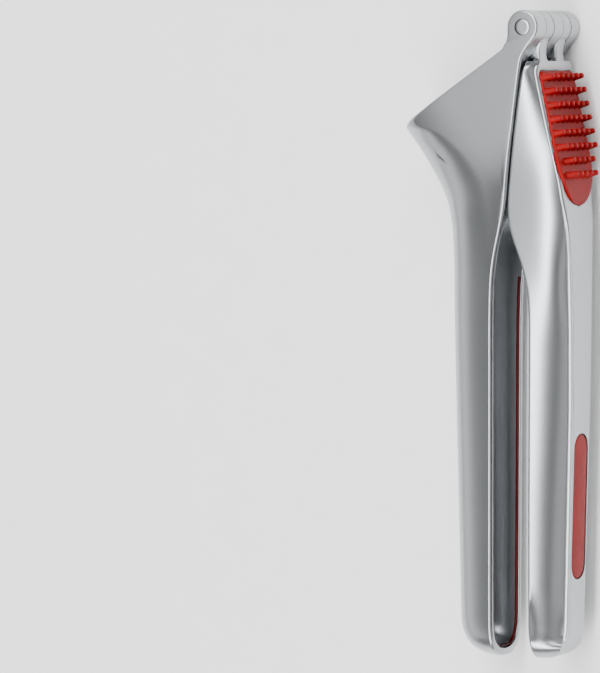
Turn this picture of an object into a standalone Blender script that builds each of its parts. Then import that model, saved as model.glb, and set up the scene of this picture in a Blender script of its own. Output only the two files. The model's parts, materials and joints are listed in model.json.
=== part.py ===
"""Hand garlic press lying on its side, closed.

World frame: metres, +Z up.  The hinge pin runs along +Z, the handles run towards
-Y, the garlic chamber faces -X.  Every outline below is in millimetres, measured
from the pin axis at half width, and each object's origin is on that axis.
"""
import math

import bmesh
import bpy
import numpy as np

# ---- driving dimensions (mm) ------------------------------------------------
MM = 0.001
PIN = (14.157, 95.517, 15.7)      # pin axis at half width, in the part's frame
HALF_WIDTH = 15.7                # hinge and chamber
KNUCKLE_R = 5.3
PIN_R = 2.4
FIT = 0.3                        # clearance left between neighbouring pieces
MIDDLE_KNUCKLE = 3.2             # half width of the lower body's middle knuckle
OUTER_KNUCKLE = 9.2              # where the lower body's outer knuckles begin
SLOT_R = 9.4                     # room for the upper arms inside the lower body
SIEVE_ANGLE = math.radians(213.9)   # direction of the sieve from the pin
SIEVE_FACE = 1.73                # outer face, offset from the pin axis
SIEVE_THICK = 1.4
PAD_ANGLE = math.radians(282.7)  # direction of the cleaning pad from the pin
PAD_FACE = 1.6                   # outer skin of the pad, offset from the pin axis
NUB_TIP = 5.1
NUB_R = (1.05, 0.75)             # root and tip
HOLE_R = 1.3
ROW_START = 16.3
ROW_PITCH = 4.4
NUB_PITCH = 3.63
ROWS = (7, 7, 7, 7, 7, 7, 5, 5)  # 52 nubs, 52 holes
CHAMBER_R = (11.6, 51.0)         # cylindrical ends of the chamber about the pin
CHAMBER_HALF = 13.3
WALL = 2.0
BEAD_WIDTH = 0.9
BEAD_DEPTH = 1.2
SHARP_EDGE = math.radians(35.0)  # edges bent more than this stay sharp

# y, back x, rim x, half width, corner depth, corner width of the lower handle
LOWER = np.array([
    (-5.0, -6.2, -1.0, 15.7, 0.8, 0.8),
    (-6.8, -7.0, -0.9, 15.7, 0.8, 0.8),
    (-11.0, -13.27, -0.6, 15.7, 1.2, 1.2),
    (-28.0, -38.55, -2.85, 15.7, 1.5, 1.2),
    (-29.5, -40.78, -3.0, 15.7, 4.0, 2.2),
    (-30.5, -42.26, -3.15, 15.7, 6.5, 4.2),
    (-31.2, -43.3, -3.25, 15.7, 8.5, 6.0),
    (-31.8, -43.8, -3.3, 15.7, 10.0, 7.5),
    (-32.6, -43.5, -3.45, 15.7, 11.0, 8.3),
    (-34.3, -42.5, -3.7, 15.7, 12.0, 9.0),
    (-39.0, -39.5, -4.3, 15.7, 15.0, 11.0),
    (-43.7, -36.8, -4.9, 15.6, 17.0, 12.5),
    (-48.4, -34.1, -5.5, 15.3, 18.0, 13.5),
    (-53.1, -31.9, -6.1, 14.6, 18.0, 14.0),
    (-58.0, -30.7, -7.2, 13.8, 18.0, 13.4),
    (-63.0, -30.1, -8.6, 13.1, 18.0, 12.7),
    (-70.0, -29.7, -10.6, 12.4, 17.0, 12.0),
    (-78.0, -29.6, -11.9, 12.0, 16.5, 11.6),
    (-91.0, -29.5, -12.2, 11.8, 16.0, 11.4),
    (-124.0, -28.6, -12.2, 11.6, 15.5, 11.2),
    (-152.0, -27.8, -12.2, 11.5, 15.0, 11.1),
    (-180.0, -27.0, -12.2, 11.3, 14.0, 10.9),
])
# the same columns for the upper handle; its corner width leaves the flat spine
UPPER = np.array([
    (-10.4, 3.9, 0.4, 13.2, 1.2, 1.2),
    (-12.0, 4.35, 0.4, 14.7, 1.6, 1.4),
    (-20.0, 6.16, -0.9, 15.3, 2.5, 1.6),
    (-40.0, 10.66, -4.0, 15.1, 3.2, 1.6),
    (-46.4, 12.1, -5.0, 14.5, 3.5, 1.8),
    (-50.0, 12.55, -5.6, 13.9, 4.5, 2.2),
    (-55.0, 12.75, -6.4, 13.2, 6.0, 2.8),
    (-60.0, 12.95, -6.3, 12.9, 7.5, 3.6),
    (-66.0, 13.15, -4.6, 12.6, 8.5, 4.6),
    (-74.0, 13.4, -1.4, 12.4, 9.0, 5.1),
    (-82.0, 13.6, 0.4, 12.2, 9.5, 5.2),
    (-92.0, 13.7, 0.6, 12.1, 9.5, 5.4),
    (-118.0, 13.6, 0.6, 12.0, 9.5, 5.8),
    (-149.0, 12.9, 0.6, 12.0, 9.0, 6.1),
    (-181.0, 12.2, 0.6, 11.7, 8.5, 6.2),
])
HANDLE_END = -196.3
END_ROUND = 15.0


def wipe_scene():
    """Start from an empty file."""
    for obj in list(bpy.data.objects):
        bpy.data.objects.remove(obj, do_unlink=True)


def material(name, colour, roughness, metallic):
    """One plain Principled material."""
    mat = bpy.data.materials.new(name)
    mat.use_nodes = True
    shader = mat.node_tree.nodes["Principled BSDF"]
    shader.inputs["Base Color"].default_value = (*colour, 1.0)
    shader.inputs["Roughness"].default_value = roughness
    shader.inputs["Metallic"].default_value = metallic
    mat.diffuse_color = (*colour, 1.0)
    return mat


def add_mesh(name, verts, faces, mat=None):
    """Object from millimetre points about the pin, faces turned outward."""
    mesh = bpy.data.meshes.new(name)
    mesh.from_pydata([tuple(c * MM for c in v) for v in verts], [], faces)
    bm = bmesh.new()
    bm.from_mesh(mesh)
    bmesh.ops.remove_doubles(bm, verts=bm.verts, dist=1e-7)
    bmesh.ops.recalc_face_normals(bm, faces=bm.faces)
    bm.to_mesh(mesh)
    bm.free()
    obj = bpy.data.objects.new(name, mesh)
    obj.location = tuple(c * MM for c in PIN)
    bpy.context.scene.collection.objects.link(obj)
    if mat:
        mesh.materials.append(mat)
    return obj


def loft(name, rings, mat=None):
    """Closed skin through rings of equal count, with flat end caps."""
    count = len(rings[0])
    verts = [tuple(p) for ring in rings for p in ring]
    faces = []
    for r in range(len(rings) - 1):
        for i in range(count):
            j = (i + 1) % count
            a, b = r * count + i, r * count + j
            faces.append((a, b, b + count, a + count))
    faces.append(tuple(range(count)))
    last = (len(rings) - 1) * count
    faces.append(tuple(last + i for i in range(count)))
    return add_mesh(name, verts, faces, mat)


def prism(name, outline, z0, z1, mat=None):
    """Outline in x and y carried from z0 to z1."""
    rings = [[(x, y, z) for x, y in outline] for z in (z0, z1)]
    return loft(name, rings, mat)


def side_prism(name, outline, x0, x1):
    """Outline in y and z carried from x0 to x1."""
    rings = [[(x, y, z) for y, z in outline] for x in (x0, x1)]
    return loft(name, rings)


def rod(name, centre, axis, radius, length, sides=24, mat=None):
    """Straight round bar; radius may be a (start, end) pair."""
    r0, r1 = radius if isinstance(radius, tuple) else (radius, radius)
    axis = np.array(axis, float) / np.linalg.norm(axis)
    other = np.array((0.0, 0.0, 1.0)) if abs(axis[2]) < 0.9 else np.array((1.0, 0.0, 0.0))
    u = np.cross(axis, other)
    u /= np.linalg.norm(u)
    v = np.cross(axis, u)
    rings = []
    for r, d in ((r0, 0.0), (r1, length)):
        ring = []
        for k in range(sides):
            a = 2 * math.pi * (k + 0.5) / sides
            ring.append(tuple(np.array(centre) + axis * d + r * (math.cos(a) * u + math.sin(a) * v)))
        rings.append(ring)
    return loft(name, rings, mat)


def combine(obj, tools, operation):
    """Apply Boolean tools to an object in turn, tidy each result, remove the tools."""
    for tool in tools:
        mod = obj.modifiers.new("cut", "BOOLEAN")
        mod.operation = operation
        mod.solver = "EXACT"
        mod.object = tool
        bpy.context.view_layer.update()
        depsgraph = bpy.context.evaluated_depsgraph_get()
        mesh = bpy.data.meshes.new_from_object(obj.evaluated_get(depsgraph))
        obj.modifiers.clear()
        bm = bmesh.new()
        bm.from_mesh(mesh)
        bmesh.ops.remove_doubles(bm, verts=bm.verts, dist=2e-6)
        bmesh.ops.dissolve_degenerate(bm, edges=bm.edges, dist=2e-6)
        bmesh.ops.triangulate(bm, faces=bm.faces)
        bm.to_mesh(mesh)
        bm.free()
        obj.data = mesh
        bpy.data.objects.remove(tool, do_unlink=True)
    return obj


def join_tools(name, parts):
    """Merge separate, non-touching tools into one object."""
    verts, faces = [], []
    for part in parts:
        base = len(verts)
        verts += [tuple(c / MM for c in v.co) for v in part.data.vertices]
        faces += [tuple(base + i for i in p.vertices) for p in part.data.polygons]
        bpy.data.objects.remove(part, do_unlink=True)
    return add_mesh(name, verts, faces)


def along(angle, s, t):
    """Point s along a direction from the pin and t to the left of it."""
    c, q = math.cos(angle), math.sin(angle)
    return (s * c - t * q, s * q + t * c)


def arc(radius, start, end, steps):
    """Points about the pin from one angle to another, in degrees."""
    angles = np.radians(np.linspace(start, end, steps))
    return [(radius * math.cos(a), radius * math.sin(a)) for a in angles]


def face_block(name, s0, s1, half, corner, t0, t1, mat=None):
    """Block on the sieve's line, s0 to s1 by +-half, its two far corners rounded."""
    outline = [(s0, -half)]
    for side, angles in ((-1, (-90, -60, -30, 0)), (1, (0, 30, 60, 90))):
        for a in np.radians(angles):
            outline.append((s1 - corner + corner * math.cos(a),
                            side * (half - corner) + corner * math.sin(a)))
    outline.append((s0, half))
    rings = [[(*along(SIEVE_ANGLE, s, t), z) for s, z in outline] for t in (t0, t1)]
    return loft(name, rings, mat)


def table_at(table, y):
    """Row of a handle table at one y."""
    ys = -table[:, 0]
    return [float(np.interp(-y, ys, table[:, k])) for k in range(1, 6)]


def handle_ring(table, y, inset=0.0, back_inset=None, over=0.0, step=0.0):
    """D-shaped section of a handle: flat rim side, rounded back, optional spine."""
    back_inset = inset if back_inset is None else back_inset
    back, rim, half, depth, width = table_at(table, y)
    side = 1.0 if back > rim else -1.0
    ramp = max(0.0, (table[-1, 0] - y) / END_ROUND)
    ramp = min(ramp * END_ROUND / (table[-1, 0] - HANDLE_END - inset), 0.995)
    shrink = math.sqrt(1.0 - ramp * ramp)
    centre = rim + (back - rim) * 0.1
    back = centre + (back - centre) * shrink
    half = half * (0.25 + 0.75 * shrink) - inset
    depth = min(depth, 0.8 * abs(back - rim)) - 0.5 * inset
    width = max(min(width, half - 0.4) - inset * 0.5, 0.5)
    back -= side * back_inset
    rim_x = rim - side * over
    if shrink < 1.0 and over == 0.0:
        rim_x = centre - (centre - rim) * shrink
    depth = max(min(depth, 0.9 * abs(back - rim_x)), 0.3)
    pts = [(rim_x, half)]
    for k in range(6):
        a = math.radians(90.0 * k / 5)
        pts.append((back - side * (step + (depth - step) * (1.0 - math.sin(a))),
                    half - width + width * math.cos(a)))
    pts.append((back, half - width - 0.35))
    mirror = [(x, -z) for x, z in reversed(pts)]
    return [(x, y, z) for x, z in pts + mirror]


def stations(table, start, end):
    """Section positions: the table's own plus closer ones round the end."""
    ys = [y for y in table[:, 0] if start >= y >= end]
    if not ys or abs(ys[0] - start) > 0.2:
        ys.insert(0, start)
    span = table[-1, 0] - end
    if span > 1.0:
        ys += [table[-1, 0] - span * f for f in (0.3, 0.55, 0.75, 0.88, 0.96, 1.0)]
    elif abs(ys[-1] - end) > 0.2:
        ys.append(end)
    return ys


def knuckle(name, z0, z1):
    """Hinge barrel about the pin."""
    return rod(name, (0.0, 0.0, z0), (0, 0, 1), KNUCKLE_R, z1 - z0, 28)


def pattern(offset_holes):
    """Row position and z of each of the 52 nubs or holes."""
    spots = []
    for row, count in enumerate(ROWS):
        s = ROW_START + ROW_PITCH * row
        if offset_holes:
            s += 0.2 * ROW_START / s
        for k in range(count):
            spots.append((s, (k - (count - 1) / 2) * NUB_PITCH))
    return spots


def back_patch(name, outline, sink, rise, mat=None):
    """Patch of even thickness lying on the upper handle's back."""
    ys = [p[0] for p in outline]
    rows = np.linspace(max(ys), min(ys), 9)
    skin = [(table_at(UPPER, y)[0], y) for y in rows]
    band = [(x + rise, y) for x, y in skin] + [(x - sink, y) for x, y in reversed(skin)]
    patch = prism(name, band, -14.5, 14.5, mat)
    return combine(patch, [side_prism("outline", outline, -5.0, 25.0)], "INTERSECT")


def build_lower_handle(mat):
    """Cast body: grip channel, garlic chamber and three hinge knuckles."""
    ys = stations(LOWER, -5.0, HANDLE_END)
    body = loft("lower_handle", [handle_ring(LOWER, y) for y in ys], mat)
    combine(body, [knuckle("k", -HALF_WIDTH, HALF_WIDTH)], "UNION")
    start = -43.7
    inner = [handle_ring(LOWER, y, WALL, over=3.0)
             for y in stations(LOWER, start, HANDLE_END + WALL)]
    channel = loft("channel", inner)
    drum = rod("drum", (0, 0, -20.0), (0, 0, 1), CHAMBER_R[1] + 2.3, 40.0, 96)
    combine(channel, [drum], "DIFFERENCE")
    inner_line = [along(SIEVE_ANGLE, s, SIEVE_FACE + SIEVE_THICK + FIT - 0.5)
                  for s in (11.9, 50.8)]
    well = prism("well", inner_line
                 + arc(CHAMBER_R[1], 217.3, 275.0, 22)
                 + arc(CHAMBER_R[0], 275.0, 232.0, 10), -CHAMBER_HALF, CHAMBER_HALF)
    combine(well, [face_block("limit", 0.0, 51.0, CHAMBER_HALF, 6.0, -5.0, 60.0)], "INTERSECT")
    seat = face_block("seat", 11.0, 52.3, 14.3, 6.9,
                      SIEVE_FACE - 1.0, SIEVE_FACE + SIEVE_THICK + FIT)
    slots = []
    for z0, z1 in ((MIDDLE_KNUCKLE, OUTER_KNUCKLE), (-OUTER_KNUCKLE, -MIDDLE_KNUCKLE)):
        slots.append(rod("slot", (0, 0, z0), (0, 0, 1), SLOT_R, z1 - z0, 48))
    bore = rod("bore", (0, 0, -20.0), (0, 0, 1), PIN_R + FIT, 40.0, 24)
    return combine(body, [channel, well, seat] + slots + [bore], "DIFFERENCE")


def build_sieve(mat):
    """Flat steel plate with 52 holes, seated in the chamber's face."""
    plate = face_block("sieve_plate", 11.3, 52.0, 14.0, 6.6,
                       SIEVE_FACE, SIEVE_FACE + SIEVE_THICK, mat)
    axis = (-math.sin(SIEVE_ANGLE), math.cos(SIEVE_ANGLE), 0.0)
    drills = []
    for s, z in pattern(True):
        x, y = along(SIEVE_ANGLE, s, SIEVE_FACE - 1.0)
        drills.append(rod("drill", (x, y, z), axis, HOLE_R, SIEVE_THICK + 2.0, 10))
    return combine(plate, [join_tools("drills", drills)], "DIFFERENCE")


def build_pin(mat):
    """Straight hinge pin with softened ends."""
    radii = ((2.1, -15.6), (PIN_R, -15.3), (PIN_R, 15.3), (2.1, 15.6))
    rings = []
    for r, z in radii:
        rings.append([(r * math.cos(a), r * math.sin(a), z)
                      for a in np.linspace(0, 2 * math.pi, 24, endpoint=False)])
    return loft("hinge_pin", rings, mat)


def pad_outline(grow):
    """Pad seen on the handle's back: side scallops by the rows, rounded foot."""
    right = [(-13.5 + grow, 10.6 + grow), (-15.0 + grow * 0.5, 12.3 + grow)]
    right += [(-24.0, 12.5 + grow), (-35.0, 12.4 + grow), (-39.5, 12.0 + grow)]
    for a in (10, 30, 50, 70, 86):
        r = math.radians(a)
        right.append((-43.0 - (12.0 + grow) * math.sin(r), (10.6 + grow) * math.cos(r)))
    left = [(y, -z) for y, z in reversed(right)]
    return right + left


def pill_outline(grow):
    """Stadium for the inlay low on the handle's back."""
    r = 4.85 + grow
    points = []
    for centre, start in ((-130.9, 0.0), (-166.2, 180.0)):
        for a in np.radians(np.linspace(start, start + 180.0, 9)):
            points.append((centre + r * math.sin(a), r * math.cos(a)))
    return points


def rim_line(u, off):
    """Point on the upper handle's chamber side, u along it and off below it."""
    a = math.atan2(-43.0, -6.8)
    return (0.4 + u * math.cos(a) + off * math.sin(a),
            -12.0 + u * math.sin(a) - off * math.cos(a))


def build_upper_handle(mat):
    """Cast lever: two hinge arms, pocketed shoulder, channel grip with a spine."""
    rings = []
    for y in stations(UPPER, -10.4, HANDLE_END):
        step = 0.6 * float(np.interp(-y, [55.0, 64.0], [0.0, 1.0]))
        rings.append(handle_ring(UPPER, y, step=step))
    body = loft("upper_handle", rings, mat)
    arm_side = [(-4.2, -3.0), (-1.6, -7.6), (0.4, -8.9), (0.4, -13.5), (3.6, -13.5),
                (3.6, -10.2), (2.8, -8.3), (4.2, -3.0), (4.2, 0.0), (-4.2, 0.0)]
    for z0, z1 in ((MIDDLE_KNUCKLE + FIT, OUTER_KNUCKLE - FIT),
                   (-OUTER_KNUCKLE + FIT, -MIDDLE_KNUCKLE - FIT)):
        combine(body, [prism("arm", arm_side, z0, z1), knuckle("k", z0, z1)], "UNION")
    inner = [handle_ring(UPPER, y, WALL, WALL + 0.9, over=2.0)
             for y in stations(UPPER, -66.0, HANDLE_END + WALL)]
    tools = [loft("channel", inner)]
    pocket = [rim_line(6.0, 2.0), rim_line(43.0, 2.0), (9.2, -56.6), (9.2, -46.4),
              (4.1, -21.0), (3.2, -18.0)]
    tools += [prism("pocket", pocket, 3.0, 10.6), prism("pocket", pocket, -10.6, -3.0)]
    tools.append(rod("bore", (0, 0, -20.0), (0, 0, 1), PIN_R + FIT, 40.0, 24))
    tools.append(back_patch("pad_seat", pad_outline(FIT), 1.5, 2.0))
    tools.append(back_patch("pill_seat", pill_outline(FIT), 1.5, 2.0))
    for u in (13.0, 29.0):
        x, y = rim_line(u, 1.0)
        a = math.atan2(-43.0, -6.8) + math.pi / 2
        tools.append(rod("hole", (x, y, 0), (math.cos(a), math.sin(a), 0), 1.8, 5.5, 16))
    return combine(body, tools, "DIFFERENCE")


def build_foot(mat):
    """Press foot: face plate, four ribs and a flange that meets the upper handle."""
    near, far = 12.2, 50.6
    face = [along(SIEVE_ANGLE, near, 3.55), along(SIEVE_ANGLE, 50.4, 3.55),
            along(SIEVE_ANGLE, 50.2, 5.8), along(SIEVE_ANGLE, near - 0.4, 5.8)]
    foot = prism("press_foot", face, -13.0, 13.0, mat)
    flange = [rim_line(2.0, 0.3), rim_line(38.3, 0.3), rim_line(38.1, 2.5), rim_line(1.6, 2.5)]
    tools = [prism("flange", flange, -12.9, 12.9)]
    web = [along(SIEVE_ANGLE, near + 0.1, 4.4), along(SIEVE_ANGLE, 50.2, 4.4)]
    web += arc(far - 0.1, 223.0, 262.0, 9)
    web += [rim_line(38.2, 1.4), rim_line(1.9, 1.4)] + arc(near + 0.9, 262.0, 242.0, 4)
    for z in (-11.5, -4.6, 4.6, 11.5):
        tools.append(prism("rib", web, z - 1.1, z + 1.1))
    combine(foot, tools, "UNION")
    limit = face_block("limit", 0.0, 50.6, 13.0, 5.7, -5.0, 60.0)
    combine(foot, [limit], "INTERSECT")
    holes = []
    for u in (13.0, 29.0):
        x, y = rim_line(u, 4.0)
        a = math.atan2(-43.0, -6.8) + math.pi / 2
        holes.append(rod("hole", (x, y, 0), (math.cos(a), math.sin(a), 0), 1.8, 5.0, 16))
    return combine(foot, holes, "DIFFERENCE")


def build_rivet(name, u, mat):
    """Round-headed rivet through the foot's flange into the handle."""
    a = math.atan2(-43.0, -6.8) + math.pi / 2
    axis = (math.cos(a), math.sin(a), 0)
    x, y = rim_line(u, 4.0)
    rivet = rod(name, (x, y, 0), axis, (1.9, 2.6), 1.2, 16, mat)
    x, y = rim_line(u, 3.0)
    return combine(rivet, [rod("shank", (x, y, 0), axis, 1.5, 7.0, 16)], "UNION")


def build_pad(mat):
    """Soft cleaning pad with 52 tapered nubs on its face."""
    pad = back_patch("cleaning_pad", pad_outline(0.0), 1.2, 0.0, mat)
    axis = (-math.sin(PAD_ANGLE), math.cos(PAD_ANGLE), 0.0)
    nubs = []
    for s, z in pattern(False):
        x, y = along(PAD_ANGLE, s, PAD_FACE - 0.7)
        nubs.append(rod("nub", (x, y, z), axis, NUB_R, NUB_TIP - PAD_FACE + 0.7, 10))
    return combine(pad, [join_tools("nubs", nubs)], "UNION")


def build_bead(mat):
    """Thin soft bead pressed in just inside the rim of the lower handle's channel."""
    near = WALL + FIT
    span = LOWER[-1, 0] - HANDLE_END - near
    ys = [y for y in LOWER[:, 0] if y <= -78.0]
    ys += [LOWER[-1, 0] - span * f for f in (0.3, 0.55, 0.75, 0.86, 0.93)]
    sides = []
    for y in ys:
        rim = table_at(LOWER, y)[1]
        outer = handle_ring(LOWER, y, near)[0][2]
        lag = BEAD_WIDTH * max(0.0, (LOWER[-1, 0] - y) / span)
        sides.append((rim - FIT, y, outer, y + lag, max(outer - BEAD_WIDTH, 0.6)))
    rings = []
    for sign, order in ((1.0, sides), (-1.0, list(reversed(sides)))):
        for x0, y0, z0, y1, z1 in order:
            x1 = x0 - BEAD_DEPTH
            rings.append([(x0, y0, sign * z0), (x0, y1, sign * z1),
                          (x1, y1, sign * z1), (x1, y0, sign * z0)])
    return loft("channel_bead", rings, mat)


def smooth_rounds():
    """Shade round pieces smooth and keep their true edges sharp."""
    for obj in bpy.data.objects:
        if obj.type == "MESH":
            obj.data.shade_smooth()
            obj.data.set_sharp_from_angle(angle=SHARP_EDGE)


def main():
    """Build every piece."""
    wipe_scene()
    satin = material("satin_cast_zinc", (0.50, 0.51, 0.52), 0.38, 1.0)
    steel = material("stainless_steel", (0.60, 0.60, 0.60), 0.25, 1.0)
    red = material("red_silicone", (0.52, 0.03, 0.04), 0.55, 0.0)
    build_lower_handle(satin)
    build_sieve(steel)
    build_pin(steel)
    build_upper_handle(satin)
    build_foot(satin)
    build_rivet("foot_rivet_1", 13.0, steel)
    build_rivet("foot_rivet_2", 29.0, steel)
    build_pad(red)
    build_bead(red)
    back_patch("grip_inlay", pill_outline(0.0), 1.2, 0.0, red)
    smooth_rounds()


main()
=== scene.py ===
import json
import math

import bmesh
import bpy
import numpy as np
from mathutils import Matrix, Vector


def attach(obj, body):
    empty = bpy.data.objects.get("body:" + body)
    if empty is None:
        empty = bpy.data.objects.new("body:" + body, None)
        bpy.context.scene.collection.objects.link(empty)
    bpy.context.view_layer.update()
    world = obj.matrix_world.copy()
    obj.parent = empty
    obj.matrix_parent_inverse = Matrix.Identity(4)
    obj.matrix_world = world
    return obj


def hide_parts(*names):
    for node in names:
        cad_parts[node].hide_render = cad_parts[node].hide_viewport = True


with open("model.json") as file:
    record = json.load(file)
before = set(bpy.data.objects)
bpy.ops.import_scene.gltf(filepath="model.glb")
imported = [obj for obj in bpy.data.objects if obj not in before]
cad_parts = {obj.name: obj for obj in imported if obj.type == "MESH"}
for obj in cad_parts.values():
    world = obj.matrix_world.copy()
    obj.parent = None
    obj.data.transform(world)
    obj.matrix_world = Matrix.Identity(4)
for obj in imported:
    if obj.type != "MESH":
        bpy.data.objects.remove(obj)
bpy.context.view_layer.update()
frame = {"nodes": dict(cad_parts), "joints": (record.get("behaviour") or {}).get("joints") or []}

# ---- Table and studio --------------------------------------------------------
# The press lies on its side on a pale sheet of card under one long overhead soft light,
# with dimmer panels to the left, a fill to the right and a wash from each end.
PIN = np.array(frame["joints"][0]["pos_m"])
MM = 0.001


def place(x, y, z):
    """Millimetres about the hinge pin at half width, as one point of the frame."""
    return Vector((PIN[0] + x * MM, PIN[1] + y * MM, PIN[2] + z * MM))


def node_material(name):
    """Empty node material, its tree, its Principled shader and a coordinate node."""
    mat = bpy.data.materials.new(name)
    mat.use_nodes = True
    tree = mat.node_tree
    return mat, tree, tree.nodes["Principled BSDF"], tree.nodes.new("ShaderNodeTexCoord")


def noise(tree, vector, scale, detail):
    """Noise read at a vector socket."""
    node = tree.nodes.new("ShaderNodeTexNoise")
    node.inputs["Scale"].default_value = scale
    node.inputs["Detail"].default_value = detail
    tree.links.new(vector, node.inputs["Vector"])
    return node


def tone_by(tree, shader, source, dark, light, low=0.0, high=1.0):
    """Base colour from dark at low to light at high, by a noise."""
    tone = tree.nodes.new("ShaderNodeValToRGB")
    for stop, place_at, colour in zip(tone.color_ramp.elements, (low, high), (dark, light)):
        stop.position = place_at
        stop.color = (*colour, 1)
    tree.links.new(source.outputs["Fac"], tone.inputs["Fac"])
    tree.links.new(tone.outputs["Color"], shader.inputs["Base Color"])


def pale_card():
    """Matt white card with a faint fibre mottle."""
    mat, tree, shader, where = node_material("pale_card")
    fibre = noise(tree, where.outputs["Object"], 90.0, 6.0)
    tone_by(tree, shader, fibre, (0.90, 0.90, 0.90), (0.94, 0.94, 0.94))
    shader.inputs["Roughness"].default_value = 0.9
    shader.inputs["Specular IOR Level"].default_value = 0.1
    return mat


half_card, card_top = 3.0, -0.0002
card_mesh = bpy.data.meshes.new("card")
card_mesh.from_pydata([(-half_card, -half_card, card_top), (half_card, -half_card, card_top),
                       (half_card, half_card, card_top), (-half_card, half_card, card_top)],
                      [], [(0, 1, 2, 3)])
card = bpy.data.objects.new("card", card_mesh)
card_mesh.materials.append(pale_card())
bpy.context.scene.collection.objects.link(card)


def facing(aim):
    """Rotation that looks along aim with the table's +Y up and its +X to the right."""
    right = aim.cross(Vector((0, 1, 0))).normalized()
    up = right.cross(aim).normalized()
    return Matrix((right, up, -aim.normalized())).transposed().to_quaternion()


def soft_light(name, where, towards, size, power):
    """White rectangular light: its place and aim in millimetres, size in metres, watts."""
    data = bpy.data.lights.new(name, "AREA")
    data.shape = "RECTANGLE"
    data.size, data.size_y = size
    data.energy = power
    lamp = bpy.data.objects.new(name, data)
    lamp.location = place(*where)
    lamp.rotation_mode = "QUATERNION"
    lamp.rotation_quaternion = facing(place(*towards) - lamp.location)
    bpy.context.scene.collection.objects.link(lamp)


soft_light("overhead", (50, -90, 900), (0, -90, 0), (0.22, 1.6), 15.0)
soft_light("left_panel", (-400, -60, 860), (0, -80, 0), (0.40, 1.4), 1.9)
soft_light("left_low", (-900, -80, 250), (0, -80, 0), (0.34, 1.4), 2.4)
soft_light("right_fill", (900, -100, 500), (0, -90, 0), (0.5, 1.2), 1.5)
soft_light("head_wash", (0, 900, 900), (0, -90, 0), (1.2, 0.6), 15.0)
soft_light("tail_wash", (0, -1100, 900), (0, -90, 0), (1.2, 0.6), 15.0)
world = bpy.data.worlds.new("studio")
world.use_nodes = True
world.node_tree.nodes["Background"].inputs["Color"].default_value = (1.0, 1.0, 1.0, 1.0)
world.node_tree.nodes["Background"].inputs["Strength"].default_value = 0.16
bpy.context.scene.world = world

camera_data = bpy.data.cameras.new("camera")
camera_data.lens = 234.0
camera_data.sensor_width = 36.0
camera_data.clip_start = 0.05
camera_data.clip_end = 20.0
camera = bpy.data.objects.new("camera", camera_data)
camera.location = place(580.0, -10.8, 1232.0)
camera.rotation_mode = "QUATERNION"
camera.rotation_quaternion = facing(place(-85.9, -98.6, 0.0) - camera.location)
bpy.context.scene.collection.objects.link(camera)
bpy.context.scene.camera = camera

# ---- Lower handle ------------------------------------------------------------
# One zinc die casting, blasted and plated to a fine satin: a hollow grip that opens
# towards the other handle, the garlic chamber, and three barrels of the hinge.
SIEVE_LINE = math.radians(213.9)     # direction of the sieve from the pin
PAD_LINE = math.radians(282.7)       # direction of the cleaning pad from the pin
HALF_WIDTH = 15.7
BARREL = 5.26                        # outer radius of the hinge barrels
BORE = 2.55
MIDDLE_BARREL, OUTER_BARREL = 3.2, 9.2   # half width of one, start of the other
SLOT = 9.4                           # radius cleared for the upper handle's arms
WALL = 2.0
HANDLE_TIP = -196.3
TIP_ROUND = 13.0                     # length of the rounding at the tip
TIP_START = HANDLE_TIP + TIP_ROUND
WELL_NEAR, WELL_FAR = 11.6, 51.0     # curved ends of the chamber, about the pin
WELL_HALF = 13.3
SIEVE_FACE, SIEVE_THICK = 1.73, 1.4  # outer face of the sieve from the pin's axis
SEAT_GAP = 0.3


def gloss_by(tree, shader, source, smooth, rough, low=0.0, high=1.0):
    """Roughness from smooth at low to rough at high, by a noise."""
    gloss = tree.nodes.new("ShaderNodeMapRange")
    for key, value in (("From Min", low), ("From Max", high), ("To Min", smooth),
                       ("To Max", rough)):
        gloss.inputs[key].default_value = value
    tree.links.new(source.outputs["Fac"], gloss.inputs["Value"])
    tree.links.new(gloss.outputs["Result"], shader.inputs["Roughness"])


def bump_by(tree, shader, source, strength, distance):
    """Surface relief by a noise; distance in metres."""
    bump = tree.nodes.new("ShaderNodeBump")
    bump.inputs["Strength"].default_value = strength
    bump.inputs["Distance"].default_value = distance
    tree.links.new(source.outputs["Fac"], bump.inputs["Height"])
    tree.links.new(bump.outputs["Normal"], shader.inputs["Normal"])


def satin_metal(name, tint):
    """Plated casting: fine blasted grain, faint tonal drift and slightly uneven gloss."""
    mat, tree, shader, where = node_material(name)
    grain = noise(tree, where.outputs["Object"], 2600.0, 2.0)
    grain.inputs["Roughness"].default_value = 0.6
    drift = noise(tree, where.outputs["Object"], 38.0, 4.0)
    tone_by(tree, shader, drift, tuple(0.95 * c for c in tint), tint, 0.3, 0.7)
    gloss_by(tree, shader, grain, 0.275, 0.315, 0.3, 0.7)
    bump_by(tree, shader, grain, 0.15, 0.0000012)
    shader.inputs["Metallic"].default_value = 1.0
    return mat


def tidy_mesh(mesh, outward=False):
    """Merge doubled points and, if asked, turn faces outward."""
    bm = bmesh.new()
    bm.from_mesh(mesh)
    bmesh.ops.remove_doubles(bm, verts=bm.verts, dist=2e-6)
    bmesh.ops.dissolve_degenerate(bm, edges=bm.edges, dist=1e-6)
    if outward:
        bmesh.ops.recalc_face_normals(bm, faces=bm.faces)
    bm.to_mesh(mesh)
    bm.free()


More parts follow.
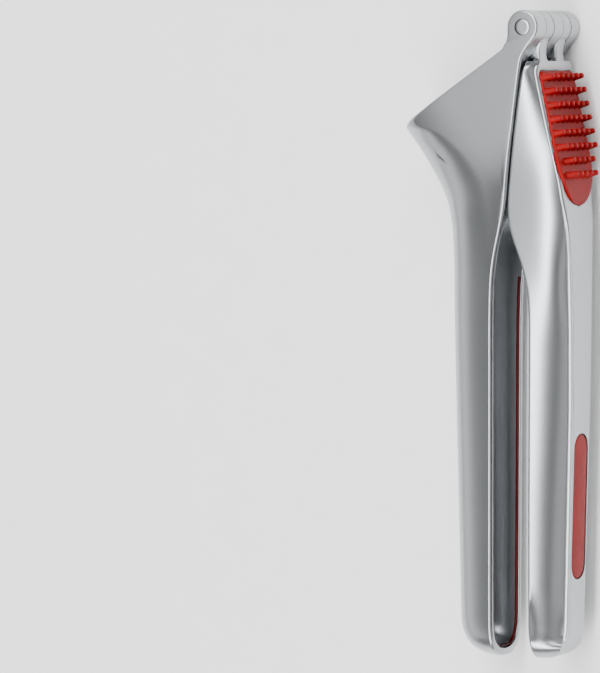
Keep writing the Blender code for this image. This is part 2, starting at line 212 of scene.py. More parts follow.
def shell(name, grid):
    """Closed mesh on a grid of points in millimetres about the pin.

    Point (r, c) is joined to (r, c + 1), (r + 1, c + 1) and (r + 1, c), with c running
    round and back to 0; the first and last rows are closed with one face each."""
    rows, around = grid.shape[:2]
    points = (grid.reshape(-1, 3) * MM + PIN).astype(np.float32)
    r, c = np.meshgrid(np.arange(rows - 1), np.arange(around), indexing="ij")
    n = (c + 1) % around
    quads = np.stack([r * around + c, r * around + n, (r + 1) * around + n,
                      (r + 1) * around + c], -1).reshape(-1, 4)
    faces = quads.tolist()
    faces.append(list(range(around))[::-1])
    faces.append(list(range((rows - 1) * around, rows * around)))
    mesh = bpy.data.meshes.new(name)
    mesh.from_pydata(points.tolist(), [], faces)
    tidy_mesh(mesh, outward=True)
    obj = bpy.data.objects.new(name, mesh)
    bpy.context.scene.collection.objects.link(obj)
    return obj


def carve(obj, tools, operation="DIFFERENCE"):
    """Boolean tools in turn, each tool removed after use."""
    for tool in tools:
        mod = obj.modifiers.new("carve", "BOOLEAN")
        mod.operation = operation
        mod.solver = "EXACT"
        mod.object = tool
        bpy.context.view_layer.update()
        graph = bpy.context.evaluated_depsgraph_get()
        mesh = bpy.data.meshes.new_from_object(obj.evaluated_get(graph))
        obj.modifiers.clear()
        old, obj.data = obj.data, mesh
        bpy.data.meshes.remove(old)
        bpy.data.objects.remove(tool, do_unlink=True)
        tidy_mesh(mesh)


def finish_piece(obj, mat, body, slot, *nodes, angle=32.0):
    """Smooth shading with true edges kept, one material, and the piece's place in the frame."""
    obj.data.materials.clear()
    obj.data.materials.append(mat)
    obj.data.shade_smooth()
    obj.data.set_sharp_from_angle(angle=math.radians(angle))
    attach(obj, body)
    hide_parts(*nodes)


def line_point(angle, s, t):
    """Points s along a direction from the pin and t to its left, as x and y arrays.

    x = s cos(angle) - t sin(angle) and y = s sin(angle) + t cos(angle)."""
    return s * math.cos(angle) - t * math.sin(angle), s * math.sin(angle) + t * math.cos(angle)


def turned(name, profile, centre=(0.0, 0.0, 0.0), axis=(0.0, 0.0, 1.0), around=64):
    """Turned solid: each (radius, height) pair becomes a ring round the axis.

    A ring's points are centre + height * axis + radius * (u cos a + v sin a)."""
    profile = np.array(profile, float)
    axis = np.array(axis, float) / np.linalg.norm(axis)
    helper = np.array((1.0, 0.0, 0.0)) if abs(axis[0]) < 0.9 else np.array((0.0, 1.0, 0.0))
    u = np.cross(axis, helper)
    u /= np.linalg.norm(u)
    v = np.cross(axis, u)
    a = np.linspace(0.0, 2 * math.pi, around, endpoint=False)
    ring = np.cos(a)[:, None] * u + np.sin(a)[:, None] * v
    grid = (np.array(centre) + profile[:, 1, None, None] * axis
            + profile[:, 0, None, None] * ring[None])
    return shell(name, grid)


def slab(name, outline, low, high):
    """Flat-sided tool: an outline in x and y carried from one z to another."""
    outline = np.array(outline, float)
    grid = np.stack([np.column_stack([outline, np.full(len(outline), z)]) for z in (low, high)])
    return shell(name, grid)


def rounded_end(s0, s1, half, corner, steps=14):
    """Outline s, z with two rounded far corners, as on the chamber's mouth."""
    a = np.radians(np.linspace(-90.0, 90.0, 2 * steps))
    s = s1 - corner + corner * np.cos(a)
    z = np.sign(a) * (half - corner) + corner * np.sin(a)
    return np.vstack([[s0, -half], np.column_stack([s, z]), [s0, half]])


def face_tool(name, s0, s1, half, corner, t0, t1):
    """Rounded-end block standing on the sieve's line between two depths."""
    outline = rounded_end(s0, s1, half, corner)
    layers = []
    for t in (t0, t1):
        x, y = line_point(SIEVE_LINE, outline[:, 0], t)
        layers.append(np.column_stack([x, y, outline[:, 1]]))
    return shell(name, np.stack(layers))


def smooth_step(value, low, high):
    """0 below low and 1 above high, 3 t^2 - 2 t^3 between."""
    t = np.clip((value - low) / (high - low), 0.0, 1.0)
    return t * t * (3 - 2 * t)


def curve_through(table, column, y, crisp, soft, split, span):
    """Column of a station table at y, smoothed by a bell-shaped window.

    The window is crisp wide above split and soft wide once y is span below it."""
    fine = np.arange(-230.0, 20.0, 0.25)
    raw = np.interp(-fine, -table[:, 0], table[:, column])
    results = []
    for width in (crisp, soft):
        k = np.arange(-4 * width, 4 * width + 0.25, 0.25)
        bell = np.exp(-0.5 * (k / width) ** 2)
        padded = np.pad(raw, len(k) // 2, mode="edge")
        smooth = np.convolve(padded, bell / bell.sum(), mode="valid")[:len(fine)]
        results.append(np.interp(y, fine, smooth))
    w = smooth_step(split - y, 0.0, span)
    return results[0] * (1 - w) + results[1] * w


# y, back x, rim x, half width, corner depth, corner width
lower_stations = np.array([
    (-5.0, -6.2, -1.0, 15.7, 0.8, 0.8),
    (-6.8, -7.0, -0.9, 15.7, 0.8, 0.8),
    (-11.0, -13.27, -0.6, 15.7, 0.9, 0.9),
    (-28.0, -38.55, -2.85, 15.7, 1.5, 1.2),
    (-29.5, -40.78, -3.0, 15.7, 4.0, 2.2),
    (-30.5, -42.26, -3.15, 15.7, 6.5, 4.2),
    (-31.2, -43.3, -3.25, 15.7, 8.5, 6.0),
    (-31.8, -43.8, -3.3, 15.7, 13.0, 8.0),
    (-32.6, -43.5, -3.45, 15.7, 15.0, 9.0),
    (-34.3, -42.5, -3.7, 15.7, 17.0, 10.0),
    (-39.0, -39.5, -4.3, 15.7, 20.0, 11.5),
    (-43.7, -36.8, -4.9, 15.6, 21.0, 12.8),
    (-48.4, -34.1, -5.5, 15.3, 20.5, 13.5),
    (-53.1, -31.9, -6.1, 14.6, 19.5, 14.0),
    (-58.0, -30.7, -7.2, 13.8, 18.0, 13.4),
    (-63.0, -30.1, -8.6, 13.1, 18.0, 12.7),
    (-70.0, -29.7, -10.6, 12.4, 17.0, 12.0),
    (-78.0, -29.6, -11.9, 12.0, 16.5, 11.7),
    (-91.0, -29.5, -12.2, 11.8, 16.0, 11.5),
    (-124.0, -28.6, -12.2, 11.6, 15.5, 11.3),
    (-152.0, -27.8, -12.2, 11.5, 15.0, 11.2),
    (-181.0, -27.0, -12.2, 11.3, 14.5, 11.0),
    (-200.0, -26.5, -12.2, 11.2, 14.5, 10.9),
])


def lower_at(column, y):
    """Column of the lower handle's table at y."""
    return curve_through(lower_stations, column, y, 0.45, 3.0, -34.0, 20.0)


def squared(t, power=2.6):
    """Quarter of a superellipse: (1 - t^power)^(1/power), 1 at t = 0 and 0 at t = 1."""
    return (1.0 - np.clip(t, 0.0, 1.0) ** power) ** (1.0 / power)


NEARLY_ROUND = 0.5 * math.pi * 0.985     # a quarter turn, stopped short of its pole
GRIP_START = -60.0


def handle_rows(start):
    """y of every section: fine steps to the grip, wider ones along it, fine at the tip."""
    tip = TIP_START - TIP_ROUND * np.sin(np.linspace(0.0, NEARLY_ROUND, 34))
    near = np.arange(start, GRIP_START, -0.4)
    run = np.arange(GRIP_START, TIP_START, -1.3)
    return np.concatenate([near, run, tip])


def narrowed(size, shrink, least):
    """Size where shrink is 1, down to the share least of it where shrink is 0."""
    return size * (least + (1.0 - least) * shrink)


def bowl_wall(depth, half, corner_depth, corner_width, lean, lip):
    """Outer wall of the lower handle: a side, a quarter-ellipse corner and a flat back.

    With t the share of the depth, the wall is drawn in by lean * depth * t * (1 - t)."""
    flat_end = np.maximum(depth - corner_depth, 1.05 * lip)[:, None]
    lip, depth, half = lip[:, None], depth[:, None], half[:, None]
    corner_width = corner_width[:, None]
    side = np.linspace(0.0, 1.0, 14)[None, 1:]
    a = np.linspace(0.0, math.pi / 2, 40)[None, 1:]
    flat = np.linspace(1.0, 0.0, 7)[None, 1:]
    d = np.concatenate([lip + (flat_end - lip) * side, flat_end + (depth - flat_end) * np.sin(a),
                        depth + 0 * flat], 1)
    z = np.concatenate([half + 0 * side, half - corner_width * (1 - np.cos(a)),
                        (half - corner_width) * flat], 1)
    share = np.clip(d / depth, 0.0, 1.0)
    return d, z - lean[:, None] * depth * share * (1 - share) * z / half


def trough_section(half, outer, inner_depth, inner_half, lip):
    """Closed channel section for every y: rounded lips, outer wall, inner wall.

    Returns depth below the rim plane and z, one row of points for each y. The inner
    wall is a short straight side and a half ellipse."""
    q = np.linspace(0.0, 1.0, 9)[None]
    d_lip = lip[:, None] * (1 - np.cos(q * math.pi / 2))
    z_lip = half[:, None] - lip[:, None] * (1 - np.sin(q * math.pi / 2))
    d_out = np.concatenate([d_lip, outer[0]], 1)
    z_out = np.concatenate([z_lip, outer[1]], 1)
    b = np.linspace(0.0, math.pi / 2, 26)[None]
    wall_q = np.linspace(0.0, 1.0, 9)[None, :-1]
    step = 0.35 * np.clip(inner_depth / 2.0, 0.0, 1.0)[:, None]
    in_flat = (inner_depth * 0.25)[:, None]
    d_wall = step + np.maximum(in_flat - step, 0.0) * wall_q
    z_wall = np.repeat(inner_half[:, None], 8, 1)
    d_inner = in_flat + (inner_depth[:, None] - in_flat) * np.sin(b)
    z_inner = inner_half[:, None] * np.cos(b)
    r_q = np.linspace(0.0, 1.0, 5)[None, :-1]
    d_edge = step * (1 - np.cos(r_q * math.pi / 2))
    z_edge = inner_half[:, None] + step * (1 - np.sin(r_q * math.pi / 2))
    d = np.concatenate([d_out[:, ::-1], d_edge, d_wall, d_inner], 1)
    z = np.concatenate([z_out[:, ::-1], z_edge, z_wall, z_inner], 1)
    return (np.concatenate([d, d[:, -2:0:-1]], 1), np.concatenate([z, -z[:, -2:0:-1]], 1))


def lower_body(inset=0.0):
    """Grip and chamber block as one skin, drawn in all round by the inset."""
    y = handle_rows(-5.0)
    back, rim, half, corner_depth, corner_width = [lower_at(k, y) for k in range(1, 6)]
    back, full_half = back + 1.2 * inset, half - inset
    shrink = squared((TIP_START - y) / TIP_ROUND)
    depth = narrowed(rim - back, shrink, 0.06)
    half = narrowed(full_half, shrink, 0.12)
    corner_depth = np.minimum(corner_depth, 0.96 * depth)
    corner_width = np.minimum(corner_width, 0.98 * half)
    hollow = squared((TIP_START - y) / (TIP_ROUND - WALL)) * squared((y + 66.0) / 11.0, 2.0)
    inner_depth = np.maximum((rim - back - WALL) * hollow, 0.0)
    inner_half = (full_half - WALL) * hollow
    lip = np.minimum(0.85, 0.45 * np.minimum(depth, half))
    lean = 0.28 * smooth_step(-y, 30.0, 62.0)
    outer = bowl_wall(depth, half, corner_depth, corner_width, lean, lip)
    d, z = trough_section(half, outer, inner_depth, inner_half, lip)
    x = rim[:, None] - d
    crown = np.clip((y + 60.0) / 18.0, 0.0, 1.0)[:, None]
    along_mouth = -0.830 * x - 0.558 * y[:, None]
    z = z * (1.0 - crown * np.maximum(along_mouth - 33.0, 0.0) ** 2 / (170.0 * HALF_WIDTH))
    grid = np.stack([x, np.broadcast_to(y[:, None], x.shape), z], -1)
    return shell("lower_handle_casting", grid)


def barrel(name, low, high, radius, soft=0.5):
    """Hinge barrel with softened rims."""
    a = np.radians(np.linspace(0, 90, 6))
    start = np.column_stack([radius - soft + soft * np.sin(a), low + soft - soft * np.cos(a)])
    end = np.column_stack([radius - soft + soft * np.cos(a), high - soft + soft * np.sin(a)])
    return turned(name, np.vstack([start, end]), around=96)


def bezier(p0, p1, p2, p3, steps=16):
    """Cubic Bezier curve: (1-t)^3 p0 + 3 (1-t)^2 t p1 + 3 (1-t) t^2 p2 + t^3 p3."""
    t = np.linspace(0.0, 1.0, steps)[:, None]
    p0, p1, p2, p3 = np.array([p0, p1, p2, p3], float)
    return ((1 - t) ** 3 * p0 + 3 * (1 - t) ** 2 * t * p1 + 3 * (1 - t) * t ** 2 * p2
            + t ** 3 * p3)


def soft_prism(name, outline, low, high, soft):
    """Outline in x and y carried along z, its two rims rolled in by a quarter circle."""
    ahead = np.roll(outline, -1, 0) - np.roll(outline, 1, 0)
    ahead /= np.linalg.norm(ahead, axis=1)[:, None]
    inward = np.column_stack([-ahead[:, 1], ahead[:, 0]])
    layers = []
    for edge, sign, angles in ((low, 1, range(0, 91, 15)), (high, -1, range(90, -1, -15))):
        for angle in np.radians(list(angles)):
            flat = outline + inward * soft * (1 - math.sin(angle))
            z = edge + sign * soft * (1 - math.cos(angle))
            layers.append(np.column_stack([flat, np.full(len(flat), z)]))
    return shell(name, np.stack(layers))


def neck(soft):
    """Outer barrels with the neck below them, blended by two hollow fillets."""
    a = np.radians(np.linspace(-40.0, 180.0, 80))
    round_top = BARREL * np.column_stack([np.cos(a), np.sin(a)])
    left = bezier((-BARREL, -2.0), (-BARREL, -6.3), (-8.67, -8.0), (-12.5, -10.6))
    right = bezier((-0.72, -12.0), (-0.6, -8.6), (2.1, -5.75), (4.04, -3.39))
    outline = np.vstack([round_top, left, [(-9.5, -14.0), (-2.2, -14.0)], right[:-1]])
    return soft_prism("neck", outline, -HALF_WIDTH, HALF_WIDTH, soft)


def chamber_well():
    """The chamber's hollow: two arcs about the pin, closed by a line in the sieve's seat."""
    far = np.radians(np.linspace(217.3, 275.0, 40))
    near = np.radians(np.linspace(275.0, 232.0, 20))
    mouth = line_point(SIEVE_LINE, np.array([11.9, 50.8]), 2.93)
    outline = np.vstack([np.column_stack(mouth),
                         WELL_FAR * np.column_stack([np.cos(far), np.sin(far)]),
                         WELL_NEAR * np.column_stack([np.cos(near), np.sin(near)])])
    well = slab("well", outline, -WELL_HALF, WELL_HALF)
    limit = face_tool("limit", 0.0, WELL_FAR, WELL_HALF, 6.0, -5.0, 60.0)
    carve(well, [limit, lower_body(1.5)], "INTERSECT")
    return well


def bore():
    """Hole for the pin."""
    return turned("bore", [(BORE, -20.0), (BORE, 20.0)], around=72)


lower = lower_body()
carve(lower, [neck(0.8)], "UNION")
tools = [chamber_well(), face_tool("seat", 11.0, 52.3, 14.3, 6.9, SIEVE_FACE - 1.0,
                                   SIEVE_FACE + SIEVE_THICK + SEAT_GAP)]
for low, high in ((MIDDLE_BARREL, OUTER_BARREL), (-OUTER_BARREL, -MIDDLE_BARREL)):
    tools.append(turned("slot", [(SLOT, low), (SLOT, high)], around=96))
tools.append(bore())
carve(lower, tools)
casting = satin_metal("satin_casting", (0.39, 0.405, 0.42))
finish_piece(lower, casting, "lower", "satin_cast_metal", "lower_handle")

# ---- Sieve plate --------------------------------------------------------------
# Flat stainless plate, blanked and punched with 52 holes, dropped into a seat in the
# mouth of the chamber. Its far corners follow the chamber's rounded end.
ROW_START, ROW_PITCH, NUB_PITCH = 16.3, 4.4, 3.63
ROW_COUNTS = (7, 7, 7, 7, 7, 7, 5, 5)


def row_spots():
    """Distance along the line and z of every nub, row by row from the hinge."""
    s = np.repeat(ROW_START + ROW_PITCH * np.arange(len(ROW_COUNTS)), ROW_COUNTS)
    z = np.concatenate([(np.arange(n) - (n - 1) / 2) * NUB_PITCH for n in ROW_COUNTS])
    return s, z


def merged(name, pieces):
    """Several separate meshes as one object."""
    points, faces, base = [], [], 0
    for piece in pieces:
        points += [tuple(v.co) for v in piece.data.vertices]
        faces += [tuple(base + i for i in p.vertices) for p in piece.data.polygons]
        base = len(points)
        bpy.data.objects.remove(piece, do_unlink=True)
    mesh = bpy.data.meshes.new(name)
    mesh.from_pydata(points, [], faces)
    obj = bpy.data.objects.new(name, mesh)
    bpy.context.scene.collection.objects.link(obj)
    return obj


def rolled_steel(name):
    """Stainless sheet: fine grain in gloss and tone, a little drawn out along the plate."""
    mat, tree, shader, where = node_material(name)
    turn = tree.nodes.new("ShaderNodeMapping")
    turn.inputs["Rotation"].default_value = (0.0, 0.0, -SIEVE_LINE)
    turn.inputs["Scale"].default_value = (60.0, 3000.0, 3000.0)
    tree.links.new(where.outputs["Object"], turn.inputs["Vector"])
    lines = noise(tree, turn.outputs["Vector"], 1.0, 4.0)
    gloss_by(tree, shader, lines, 0.16, 0.34)
    tone_by(tree, shader, lines, (0.58, 0.58, 0.58), (0.66, 0.66, 0.65))
    bump_by(tree, shader, lines, 0.2, 0.000003)
    shader.inputs["Metallic"].default_value = 1.0
    return mat


def punched_plate():
    """Plate with soft-edged holes: each punch is a waisted turned solid."""
    plate = face_tool("sieve_sheet", 11.3, 52.0, 14.0, 6.6, SIEVE_FACE, SIEVE_FACE + SIEVE_THICK)
    s, z = row_spots()
    s = s + 0.2 * ROW_START / s
    x, y = line_point(SIEVE_LINE, s, SIEVE_FACE)
    inward = (-math.sin(SIEVE_LINE), math.cos(SIEVE_LINE), 0.0)
    profile = [(1.75, -0.25), (1.55, -0.02), (1.38, 0.13), (1.3, 0.35),
               (1.3, 1.2), (1.36, 1.32), (1.5, 1.45), (1.6, 1.6)]
    punches = [turned("punch", profile, (px, py, pz), inward, 28)
               for px, py, pz in zip(x, y, z)]
    carve(plate, [merged("punches", punches)])
    return plate


sieve = punched_plate()
steel = rolled_steel("rolled_steel")
finish_piece(sieve, steel, "lower", "stainless_steel", "sieve_plate")

# ---- Hinge pin ----------------------------------------------------------------
# Plain stainless pin through all five barrels, its ends just short of flush, barely
# dished and rounded at the edge.
pin_end = [(0.0, 15.56), (0.5, 15.56), (1.0, 15.58), (1.6, 15.58), (2.15, 15.54),
           (2.32, 15.42), (2.4, 15.2), (2.4, 14.9)]
pin = turned("hinge_pin_rod", [(r, -h) for r, h in pin_end] + pin_end[::-1], around=72)


def turned_steel(name):
    """Turned bar: fine mottle in gloss and tone."""
    mat, tree, shader, where = node_material(name)
    marks = noise(tree, where.outputs["Object"], 2600.0, 5.0)
    gloss_by(tree, shader, marks, 0.24, 0.42)
    tone_by(tree, shader, marks, (0.40, 0.41, 0.42), (0.48, 0.49, 0.50))
    shader.inputs["Metallic"].default_value = 1.0
    return mat


pin_steel = turned_steel("pin_steel")
finish_piece(pin, pin_steel, "lower", "stainless_steel", "hinge_pin")

# ---- Upper handle --------------------------------------------------------------
# The second casting, finished like the first: two hinge arms, a shoulder that carries
# the cleaning pad, and a hollow grip. A flat spine runs down its back and on round the
# tip as a raised lip, with a bulged panel sunk on each side of it.
ARM_LOW, ARM_HIGH = 3.5, 8.9
PAD_TOP, PAD_BEND, PAD_ROUND = -13.5, -40.0, 15.0    # y of two levels, length of the foot
PILL_MIDDLE, PILL_REACH, PILL_ROUND = -148.55, 22.5, 4.85
PATCH_GAP = 0.28

# y, back x, rim x, half width, half width of the spine
upper_stations = np.array([
    (-10.4, 3.9, 0.1, 12.4, 10.4),
    (-11.0, 4.05, 0.0, 13.7, 11.6),
    (-12.0, 4.35, -0.1, 14.7, 12.6),
    (-14.0, 4.8, -0.45, 15.3, 13.1),
    (-20.0, 6.16, -1.4, 15.4, 13.2),
    (-33.0, 9.1, -3.15, 15.4, 12.9),
    (-40.0, 10.7, -4.1, 15.1, 12.7),
    (-46.4, 12.1, -5.0, 14.5, 11.8),
    (-50.0, 12.55, -5.6, 13.9, 11.0),
    (-55.0, 12.75, -6.4, 13.2, 10.2),
    (-60.0, 12.95, -6.3, 12.9, 9.3),
    (-66.0, 13.15, -4.6, 12.6, 8.4),
    (-74.0, 13.4, -1.4, 12.4, 7.6),
    (-82.0, 13.6, 0.4, 12.2, 7.05),
    (-92.0, 13.7, 0.6, 12.0, 6.7),
    (-118.0, 13.6, 0.6, 12.0, 6.2),
    (-149.0, 12.9, 0.6, 12.0, 5.9),
    (-181.0, 12.2, 0.6, 11.7, 5.6),
    (-200.0, 11.8, 0.6, 11.6, 5.5),
])


def panel_wall(depth, half, spine, valley, scoop, late, soft, lip):
    """Outer wall of the upper handle: a bulged panel, a hollow fillet and the spine.

    With u from 0 at the rim to 1 at the spine, the panel falls from the rim's half
    width to the spine's by the share 0.5 u + 0.15 u^2 + 0.35 u^3, and where late is 1 by
    0.3 u + 0.1 u^2 + 0.6 u^5."""
    lip, depth, half = lip[:, None], depth[:, None], half[:, None]
    spine, valley, scoop = spine[:, None], valley[:, None], scoop[:, None]
    u = np.linspace(0.0, 1.0, 34)[None, 1:]
    even = 0.5 * u + 0.15 * u ** 2 + 0.35 * u ** 3
    g = even + late[:, None] * (0.3 * u + 0.1 * u ** 2 + 0.6 * u ** 5 - even)
    soft = soft[:, None] * lip
    foot = depth - valley - 1.05 * soft
    d_panel = lip + (foot - lip) * u
    hollow = scoop * (1 - (2 * u - 1) ** 4)
    z_panel = half - (half - spine - 0.5 * lip) * g - hollow
    a = np.linspace(0.0, math.pi / 2, 8)[None, 1:]
    d_wall = foot + (depth - soft - foot) * np.array([[0.06, 0.3, 0.6, 1.0]])
    z_wall = spine + 0.5 * lip * np.array([[0.6, 0.15, 0.0, 0.0]])
    d_round = depth - soft + soft * np.sin(a)
    z_round = spine - soft * (1 - np.cos(a))
    flat = np.linspace(1.0, 0.0, 9)[None, 1:]
    z_back = (spine - soft) * flat
    return (np.concatenate([d_panel, d_wall, d_round, depth + 0 * flat], 1),
            np.concatenate([z_panel, z_wall, z_round, z_back], 1))


def upper_at(column, y):
    """Column of the upper handle's table at y."""
    return curve_through(upper_stations, column, y, 0.5, 3.0, -14.0, 30.0)


def upper_body():
    """Shoulder and grip as one skin, with the panels sunk beside the spine."""
    y = handle_rows(-10.45)
    back, rim, full_half, spine = [upper_at(k, y) for k in range(1, 5)]
    back = back - 0.8 * smooth_step(-y, 11.0, 14.0) * (1 - smooth_step(-y, 50.0, 62.0))
    shrink = squared((TIP_START - y) / TIP_ROUND)
    depth = narrowed(back - rim, shrink, 0.06)
    half = narrowed(full_half, shrink, 0.12)
    hollow = squared((TIP_START - y) / (TIP_ROUND - WALL)) * squared((y + 77.0) / 11.0, 2.0)
    inner_depth = np.maximum((back - rim - WALL - 2.4) * hollow, 0.0)
    inner_half = (full_half - WALL - 1.2) * hollow
    lip = np.minimum(0.8, 0.3 * np.minimum(depth, half))
    above_lip = smooth_step(y, -192.4, -189.0)
    spine = np.minimum(narrowed(spine, shrink, 0.12), half - 1.2 * lip)
    spine = spine + (1 - above_lip) * 0.45 * (half - spine)
    valley = 1.5 * smooth_step(-y, 46.0, 84.0) * above_lip * shrink
    scoop = 0.9 * smooth_step(-y, 172.0, 188.0) * smooth_step(y, -193.0, -187.0)
    late = smooth_step(-y, 36.0, 52.0) * (1 - smooth_step(-y, 70.0, 100.0))
    soft = 0.35 + 0.95 * smooth_step(-y, 10.4, 12.0) * (1 - smooth_step(-y, 52.0, 72.0))
    outer = panel_wall(depth, half, spine, valley, scoop, late, soft, lip)
    d, z = trough_section(half, outer, inner_depth, inner_half, lip)
    x = rim[:, None] + d
    grid = np.stack([x, np.broadcast_to(y[:, None], x.shape), z], -1)
    return shell("upper_handle_casting", grid)


def hinge_arm(z_low, z_high):
    """Web from a barrel to the shoulder: a rounded bar that flares into the shoulder.

    Its section is the squared circle |cos a|^6 + |sin a|^6 scaled to the bar's sides."""
    y = np.concatenate([np.linspace(0.0, -9.2, 10), np.linspace(-9.4, -10.6, 8), [-11.5]])
    inner = np.interp(-y, [0.0, 3.0, 6.0, 8.6, 9.2, 12.0], [-4.2, -4.0, -2.4, -0.2, 0.5, 0.7])
    outer = np.interp(-y, [0.0, 3.0, 6.0, 8.3, 10.0, 10.6, 12.0],
                      [4.3, 4.0, 3.1, 2.8, 3.1, 3.5, 4.0])
    flare = 1.3 * (1 - np.sqrt(1 - np.clip((-9.3 - y) / 1.3, 0.0, 1.0) ** 2))
    a = np.linspace(0.0, 2 * math.pi, 40, endpoint=False)
    c, s = np.cos(a), np.sin(a)
    square = 1.0 / np.maximum(np.abs(c) ** 6 + np.abs(s) ** 6, 1e-9) ** (1 / 6)
    x = ((inner + outer) / 2)[:, None] + ((outer - inner) / 2)[:, None] * (c * square)
    low, high = z_low - flare, z_high + flare
    z = ((low + high) / 2)[:, None] + ((high - low) / 2)[:, None] * (s * square)
    grid = np.stack([x, np.broadcast_to(y[:, None], x.shape), z], -1)
    return shell("arm", grid)


def patch_tool(name, y, half, sink, rise):
    """Even slab lying on the back: half width for every y, from sink below to rise above."""
    x = upper_at(1, y)
    low, high = x - sink, x + rise
    ring = [(low, -half), (low, half), (high, half), (high, -half)]
    grid = np.stack([np.column_stack([x_, y, z_]) for x_, z_ in ring], 1)
    return shell(name, grid)


def pad_half(y):
    """Half width of the pad: cut corners at the top, a wave by the rows, a round foot."""
    s = -(y - 1.3) / 0.975
    wave = 12.15 + 0.3 * np.cos(2 * math.pi * (s - ROW_START) / ROW_PITCH) * (y > -38.5)
    top = 10.6 + np.clip(PAD_TOP - y, 0.0, 1.7)
    below = np.clip(PAD_BEND - y, 0.0, None) / PAD_ROUND
    foot = 12.1 * np.sqrt(np.clip(1.0 - below ** 2, 0.0, 1.0))
    return np.minimum(np.minimum(wave, top), foot)


def pad_rows(top, reach):
    """y of the pad's sections from its top edge to the end of its round foot."""
    quarter = np.linspace(0.04, 1.0, 30) * NEARLY_ROUND
    return np.concatenate([np.linspace(top, -15.4, 8), np.linspace(-15.8, PAD_BEND, 70),
                           PAD_BEND - reach * np.sin(quarter)])


def pill_half(y):
    """Half width of the stadium inlay."""
    off = np.clip(np.abs(y - PILL_MIDDLE) - (PILL_REACH - PILL_ROUND), 0.0, PILL_ROUND)
    return np.sqrt(np.maximum(PILL_ROUND ** 2 - off ** 2, 0.0))


def pill_rows(reach):
    """y of the inlay's sections, close together at both round ends."""
    return PILL_MIDDLE + reach * np.sin(np.linspace(-1.0, 1.0, 90) * NEARLY_ROUND)[::-1]


upper = upper_body()
for low, high in ((ARM_LOW, ARM_HIGH), (-ARM_HIGH, -ARM_LOW)):
    carve(upper, [hinge_arm(low, high), barrel("b", low, high, BARREL, 0.25)], "UNION")
pad_y = pad_rows(-13.2, 15.28)
pad_fit = np.clip(pad_half(np.clip(pad_y, -54.95, PAD_TOP)) + PATCH_GAP, 0.6, None)
pill_y = pill_rows(22.8)
inside_pill = PILL_MIDDLE + (pill_y - PILL_MIDDLE) * PILL_REACH / 22.8
pill_fit = np.clip(pill_half(inside_pill) + PATCH_GAP, 0.4, None)
carve(upper, [patch_tool("pad_seat", pad_y, pad_fit, 1.5, 3.0),
              patch_tool("pill_seat", pill_y, pill_fit, 1.4, 3.0), bore()])
finish_piece(upper, casting, "upper", "satin_cast_metal", "upper_handle")

# ---- Cleaning pad ---------------------------------------------------------------
# Red silicone moulding bedded in the shoulder: a thin mat with tapered, round-tipped
# nubs in the same pattern as the sieve's holes, which they clear.
def red_silicone(name, deep, bright):
    """Moulded silicone: even colour with a faint bloom, soft sheen and fine matt skin."""
    mat, tree, shader, where = node_material(name)
    bloom = noise(tree, where.outputs["Object"], 160.0, 5.0)
    skin = noise(tree, where.outputs["Object"], 3000.0, 2.0)
    tone_by(tree, shader, bloom, deep, bright, 0.3, 0.75)
    gloss_by(tree, shader, skin, 0.34, 0.5)
    bump_by(tree, shader, skin, 0.25, 0.000006)
    shader.inputs["Specular IOR Level"].default_value = 0.1
    shader.inputs["Subsurface Weight"].default_value = 0.12
    shader.inputs["Subsurface Radius"].default_value = (0.004, 0.0008, 0.0006)
    shader.inputs["Subsurface Scale"].default_value = 0.5
    return mat


def soft_mat(name, y, half, thick, dome=0.0, edge=0.35):
    """Mat on the handle's back whose top rolls down at both edges by a quarter circle.

    With v from -1 to 1 across, the middle of the top stands dome * (1 - v^2) proud."""
    base = upper_at(1, y)
    a = np.linspace(0.0, math.pi / 2, 5)
    v = np.linspace(-1.0, 1.0, 25)
    r = np.minimum(edge, 0.5 * half)[:, None]
    flat = half[:, None] - r
    top_z = flat * v[None]
    top_x = base[:, None] + dome * (1 - v ** 2)[None] * (half / np.max(half))[:, None] - dome
    left_z = -flat - r * np.cos(a)[None]
    left_x = base[:, None] - dome - edge * (1 - np.sin(a))[None]
    bottom_x = np.stack([base - thick, base - thick], 1)
    bottom_z = np.stack([half, -half], 1)
    z = np.concatenate([left_z, top_z[:, 1:-1], -left_z[:, ::-1], bottom_z], 1)
    x = np.concatenate([left_x, top_x[:, 1:-1], left_x[:, ::-1], bottom_x], 1)
    grid = np.stack([x, np.broadcast_to(y[:, None], x.shape), z], -1)
    return shell(name, grid)


sheet_y = pad_rows(PAD_TOP, 14.97)
pad_sheet = soft_mat("pad_mat", sheet_y, np.maximum(pad_half(sheet_y), 0.4), 1.2)
spot_s, spot_z = row_spots()
root_x, root_y = line_point(PAD_LINE, spot_s, 0.0)
outward = (-math.sin(PAD_LINE), math.cos(PAD_LINE), 0.0)
nub_profile = [(0.0, 0.9), (1.35, 1.0), (1.30, 1.62), (1.16, 1.8), (1.07, 2.1), (1.0, 2.8),
               (0.92, 3.8), (0.84, 4.7), (0.78, 4.92), (0.66, 5.04), (0.45, 5.09), (0.0, 5.1)]
nubs = [turned("nub", nub_profile, (px, py, pz), outward, 24)
        for px, py, pz in zip(root_x, root_y, spot_z)]
pad = merged("cleaning_pad_moulding", [pad_sheet] + nubs)
silicone = red_silicone("red_silicone_pad", (0.21, 0.0010, 0.0015), (0.26, 0.0020, 0.0028))
finish_piece(pad, silicone, "upper", "red_silicone", "cleaning_pad", angle=50.0)

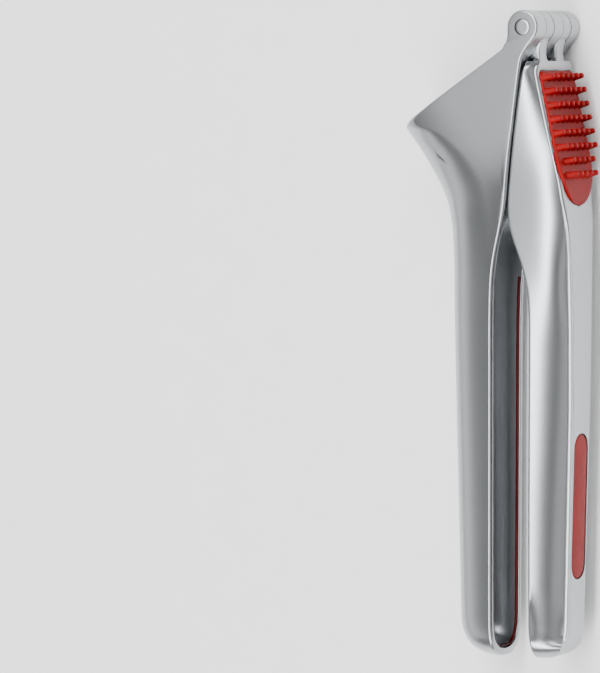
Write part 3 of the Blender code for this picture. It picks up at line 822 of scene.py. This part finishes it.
# ---- Grip inlay -------------------------------------------------------------------
# Plain red silicone pill, slightly domed, pressed into a pocket low on the spine.
inlay_y = pill_rows(PILL_REACH)
inlay = soft_mat("grip_inlay_pill", inlay_y, np.maximum(pill_half(inlay_y), 0.3), 1.2,
                 dome=0.15, edge=0.5)
inlay_red = red_silicone("red_silicone_inlay", (0.21, 0.003, 0.004), (0.25, 0.004, 0.005))
finish_piece(inlay, inlay_red, "upper", "red_silicone", "grip_inlay", angle=50.0)

# ---- Channel strip, a painted reflection ------------------------------------------
# Thin dark red silicone strip set just inside the rim of the lower grip: a painted reflection that
# stands in for the red reflection along the rim. In one piece from the chamber down one side,
# round the tip and back up the other.
def channel_bead():
    """Eight-sided bar carried along the inside of the rim and round the tip."""
    run = np.arange(-78.0, TIP_START, -2.0)
    reach = 0.955 * (TIP_ROUND - WALL)
    y = np.concatenate([run, TIP_START - reach * np.sin(np.linspace(0.02, 1.0, 26) * math.pi / 2)])
    rim, half = lower_at(2, y), lower_at(3, y)
    wall = (half - WALL) * squared((TIP_START - y) / (TIP_ROUND - WALL)) - 0.3
    path = np.column_stack([y, np.maximum(wall, 0.5)])
    path = np.vstack([path, (path * [1, -1])[::-1]])
    rims = np.concatenate([rim, rim[::-1]])
    step = np.gradient(path, axis=0)
    step /= np.linalg.norm(step, axis=1)[:, None]
    side = np.column_stack([-step[:, 1], step[:, 0]])
    inward = side * np.sign((side * (np.array([-150.0, 0.0]) - path)).sum(1))[:, None]
    a = np.radians(np.arange(22.5, 360.0, 45.0))
    across = 0.3 + 0.3 * np.cos(a)
    down = 0.5 + 0.5 * np.sin(a)
    x = rims[:, None] - 0.3 - down[None]
    yz = path[:, None] + inward[:, None] * across[None, :, None]
    grid = np.stack([x, yz[..., 0], yz[..., 1]], -1)
    return shell("painted_reflection_strip", grid)


reflection_bead = channel_bead()
# Near-black red of the strip: painted reflection of red along the rim.
painted_reflection_red = red_silicone("painted_reflection_red_silicone", (0.05, 0.002, 0.003), (0.07, 0.003, 0.004))
finish_piece(reflection_bead, painted_reflection_red, "lower", "red_silicone", "channel_bead", angle=50.0)

# ---- Press foot and its rivets ------------------------------------------------------
# Cast foot that follows the chamber: a smooth pressing face on four ribs, and a
# flange held to the upper handle by two stainless rivets.
foot_metal = satin_metal("foot_casting", (0.38, 0.39, 0.40))
for name, metal in (("press_foot", foot_metal), ("foot_rivet_1", pin_steel),
                    ("foot_rivet_2", pin_steel)):
    slots = frame["nodes"][name].data.materials
    slots.clear()
    slots.append(metal)
